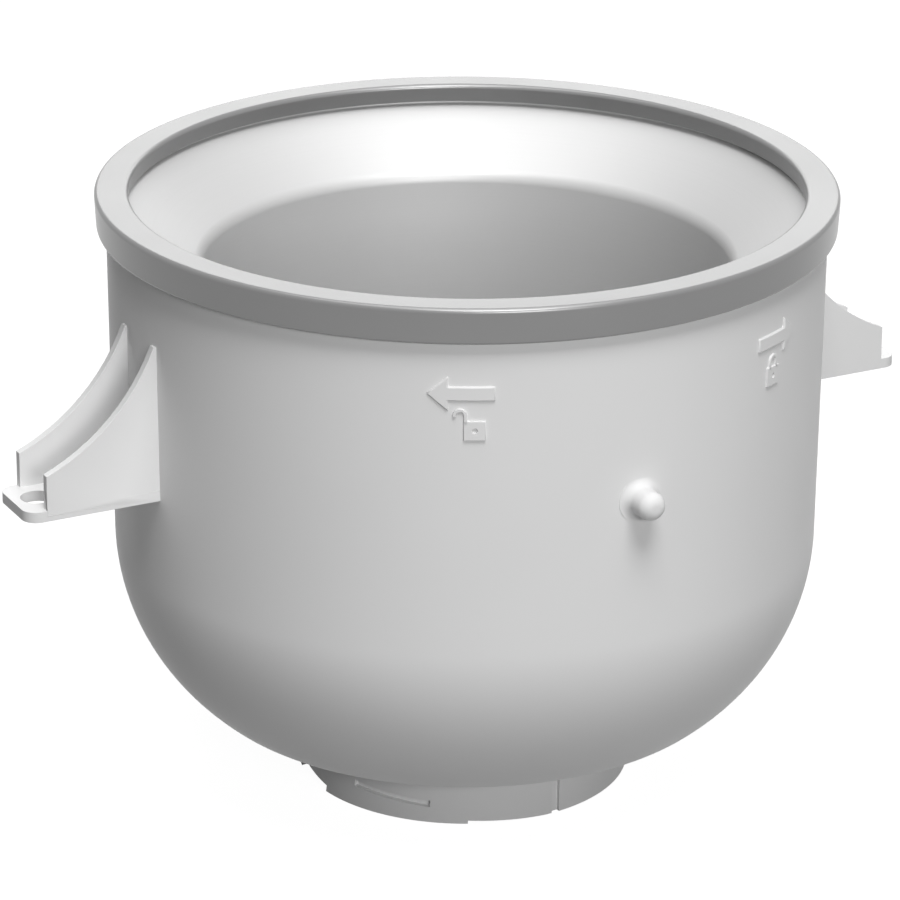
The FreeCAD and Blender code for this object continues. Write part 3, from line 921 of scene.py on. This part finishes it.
class FREEZERBOWL_OT_signs(bpy.types.Operator):
    """Raise the lock and unlock arrows with their padlocks on the wall"""

    bl_idname = "freezer_bowl.signs"
    bl_label = "Lock Signs"

    def arrow(self, sizes):
        """Outline of an arrow to the right about its middle, in flat coordinates."""
        half = sizes.arrow_length / 2
        neck = half - sizes.arrow_head_length
        shaft = sizes.arrow_shaft / 2
        head = sizes.arrow_head / 2
        outline = [(-half, -shaft), (neck, -shaft), (neck, -head), (half, 0)]
        return outline + [(neck, head), (neck, shaft), (-half, shaft)]

    def padlock(self, sizes):
        """Outline of a padlock's body."""
        half = sizes.lock_width / 2
        rise = sizes.lock_body / 2
        return [(-half, -rise), (half, -rise), (half, rise), (-half, rise)]

    def shackle(self, sizes, centre, free_leg):
        """Outline of a shackle whose leg towards -X ends a length below its bend."""
        foot = sizes.lock_body / 2 - sizes.shackle_wall
        spring = sizes.lock_body / 2 + sizes.shackle_leg
        outer = sizes.shackle_width / 2
        inner = outer - sizes.shackle_wall
        bends = [math.pi * step / ARC_STEPS for step in range(ARC_STEPS + 1)]
        outline = [(centre + outer, foot)]
        outline += [(centre + outer * math.cos(bend), spring + outer * math.sin(bend)) for bend in bends]
        outline += [(centre - outer, spring - free_leg), (centre - inner, spring - free_leg)]
        bends.reverse()
        outline += [(centre + inner * math.cos(bend), spring + inner * math.sin(bend)) for bend in bends]
        return outline + [(centre + inner, foot)]

    def keyhole(self, sizes, azimuth):
        """Round cutter through a padlock's body."""
        wall = settings().wall
        near = wall.top_radius - wall.thickness
        far = wall.top_radius + wall.thickness
        steps = [(0, near), (sizes.keyhole, near), (sizes.keyhole, far), (0, far)]
        points = [Vector((radius, -reach, sizes.lock_height)) for radius, reach in steps]
        hole = lathe("keyhole", points, centre=(0, 0, sizes.lock_height), axis=(0, 1, 0), steps=2 * ARC_STEPS)
        return turn(hole, "Z", azimuth)

    def raised(self, name, outline, azimuth, height, target, sizes, holes=()):
        """Wraps a flat outline round the wall and gives it its relief."""
        wall = settings().wall
        reach = wall.top_radius + wall.thickness
        points = [Vector((x, -reach, height + z)) for x, z in outline]
        piece = draw(name, points)
        bpy.ops.mesh.select_all(action="SELECT")
        bpy.ops.mesh.edge_face_add()
        low = min(x for x, z in outline)
        high = max(x for x, z in outline)
        for step in range(1, ARC_STEPS):
            bpy.ops.mesh.select_all(action="SELECT")
            cut = low + (high - low) * step / ARC_STEPS
            bpy.ops.mesh.bisect(plane_co=(cut, 0, 0), plane_no=(1, 0, 0))
        bpy.ops.object.mode_set(mode="OBJECT")
        turn(piece, "Z", azimuth)
        apply_modifier(piece, "SHRINKWRAP", target=target, wrap_method="NEAREST_SURFACEPOINT")
        choose(piece)
        bpy.ops.object.mode_set(mode="EDIT")
        bpy.ops.mesh.select_all(action="SELECT")
        bpy.ops.mesh.normals_make_consistent(inside=False)
        bpy.ops.object.mode_set(mode="OBJECT")
        outward = Vector((math.sin(azimuth), -math.cos(azimuth), 0))
        facing = sum(face.normal.dot(outward) * face.area for face in piece.data.polygons)
        apply_modifier(piece, "SOLIDIFY", thickness=math.copysign(2 * sizes.relief, facing), offset=0.0)
        combine(piece, holes, "DIFFERENCE")
        soften(piece, sizes.chamfer, segments=1)
        finish_piece(piece, white_plastic())

    def execute(self, context):
        sizes = settings().signs
        target = bpy.data.objects["bowl_wall"]
        apart = sizes.lock_width / 2 + sizes.shackle_width / 2 - sizes.shackle_wall
        closed_leg = sizes.shackle_leg + sizes.shackle_wall
        signs = ((-1, "open", -sizes.open_angle, -apart, sizes.open_leg),
                 (1, "closed", sizes.closed_angle, 0.0, closed_leg))
        for side, word, azimuth, shift, free_leg in signs:
            arrow = [(side * x, z) for x, z in self.arrow(sizes)]
            self.raised(f"arrow_{word}", arrow, side * sizes.arrow_angle, sizes.arrow_height, target, sizes)
            self.raised(f"padlock_{word}", self.padlock(sizes), azimuth, sizes.lock_height, target, sizes,
                        [self.keyhole(sizes, azimuth)])
            shackle = self.shackle(sizes, shift, free_leg)
            self.raised(f"shackle_{word}", shackle, azimuth, sizes.lock_height, target, sizes)
        return {"FINISHED"}


class FREEZERBOWL_OT_hidden(bpy.types.Operator):
    """Give the gasket, the refrigerant, the plug and its seal their finishes"""

    bl_idname = "freezer_bowl.hidden"
    bl_label = "Hidden Parts"

    def execute(self, context):
        finishes = {
            "rim_gasket": seal_rubber(),
            "fill_plug_seal": seal_rubber(),
            "refrigerant_gel": refrigerant(),
            "fill_plug": white_plastic(),
        }
        for node, material in finishes.items():
            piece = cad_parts[node]
            if not piece.material_slots:
                piece.data.materials.append(material)
            piece.material_slots[0].material = material
        return {"FINISHED"}


class FREEZERBOWL_OT_stage(bpy.types.Operator):
    """Set up the floor, the lamps, the world and the camera"""

    bl_idname = "freezer_bowl.stage"
    bl_label = "Stage"

    def lamp(self, stage, name):
        """Adds one of the lamps, by the name that its settings start with."""
        deselect()
        location = Vector(getattr(stage, f"{name}_place"))
        bpy.ops.object.light_add(type="AREA", location=location)
        lamp = bpy.context.object
        lamp.name = f"{name}_lamp"
        lamp.data.shape = "RECTANGLE"
        lamp.data.size, lamp.data.size_y = getattr(stage, f"{name}_size")
        lamp.data.energy = getattr(stage, f"{name}_power")
        lamp.rotation_mode = "QUATERNION"
        lamp.rotation_quaternion = (Vector((0, 0, stage.aim_height)) - location).to_track_quat("-Z", "Y")

    def world(self, stage):
        """White where it is seen itself, and a weak light from all round elsewhere."""
        bench = NodeBench(bpy.data.worlds.new("studio"), "ShaderNodeOutputWorld")
        strength = bench.spread(seen_directly(bench), low=stage.ambient, start=0.0, end=1.0)
        background = bench.add("ShaderNodeBackground", {"Color": (1.0, 1.0, 1.0, 1.0), "Strength": strength})
        bpy.context.scene.world = bench.surface(background.outputs["Background"])

    def camera(self, stage):
        """Adds the camera and aims it by its two directions and its roll."""
        deselect()
        bpy.ops.object.camera_add()
        camera = bpy.context.object
        camera.data.lens = stage.lens
        aim = Matrix.Rotation(stage.azimuth, 4, "Z") @ Matrix.Rotation(math.pi / 2 - stage.elevation, 4, "X")
        aim = aim @ Matrix.Rotation(stage.roll, 4, "Z")
        camera.matrix_world = Matrix.Translation(stage.location) @ aim
        bpy.context.scene.camera = camera

    def execute(self, context):
        stage = settings().stage
        deselect()
        bpy.ops.mesh.primitive_grid_add(
            x_subdivisions=FLOOR_CELLS, y_subdivisions=FLOOR_CELLS, size=stage.floor_size)
        floor = bpy.context.object
        floor.name = "floor"
        floor.data.materials.append(pale_floor())
        for name in ("front", "key", "top", "back"):
            self.lamp(stage, name)
        self.world(stage)
        self.camera(stage)
        bpy.context.scene.view_settings.view_transform = "Standard"
        return {"FINISHED"}


class FREEZERBOWL_PT_panel(bpy.types.Panel):
    """Lists the steps of the freezer bowl"""

    bl_idname = "FREEZERBOWL_PT_panel"
    bl_label = "Freezer Bowl"
    bl_space_type = "VIEW_3D"
    bl_region_type = "UI"
    bl_category = "Freezer Bowl"

    def draw(self, context):
        for step in STEPS:
            self.layout.operator(step.bl_idname)


STEPS = (
    FREEZERBOWL_OT_wall,
    FREEZERBOWL_OT_collar_keys,
    FREEZERBOWL_OT_brackets,
    FREEZERBOWL_OT_stud,
    FREEZERBOWL_OT_liner,
    FREEZERBOWL_OT_rim,
    FREEZERBOWL_OT_base,
    FREEZERBOWL_OT_signs,
    FREEZERBOWL_OT_hidden,
    FREEZERBOWL_OT_stage,
)

CLASSES = (
    FREEZERBOWL_PG_wall,
    FREEZERBOWL_PG_bracket,
    FREEZERBOWL_PG_liner,
    FREEZERBOWL_PG_rim,
    FREEZERBOWL_PG_base,
    FREEZERBOWL_PG_signs,
    FREEZERBOWL_PG_finish,
    FREEZERBOWL_PG_stage,
    FREEZERBOWL_PG_settings,
    *STEPS,
    FREEZERBOWL_PT_panel,
)


def register():
    for cls in CLASSES:
        bpy.utils.register_class(cls)
    bpy.types.Scene.freezer_bowl = bpy.props.PointerProperty(type=FREEZERBOWL_PG_settings)


def unregister():
    del bpy.types.Scene.freezer_bowl
    for cls in reversed(CLASSES):
        bpy.utils.unregister_class(cls)


def main():
    register()
    for step in STEPS:
        group, name = step.bl_idname.split(".")
        getattr(getattr(bpy.ops, group), name)()


if __name__ == "__main__":
    main()
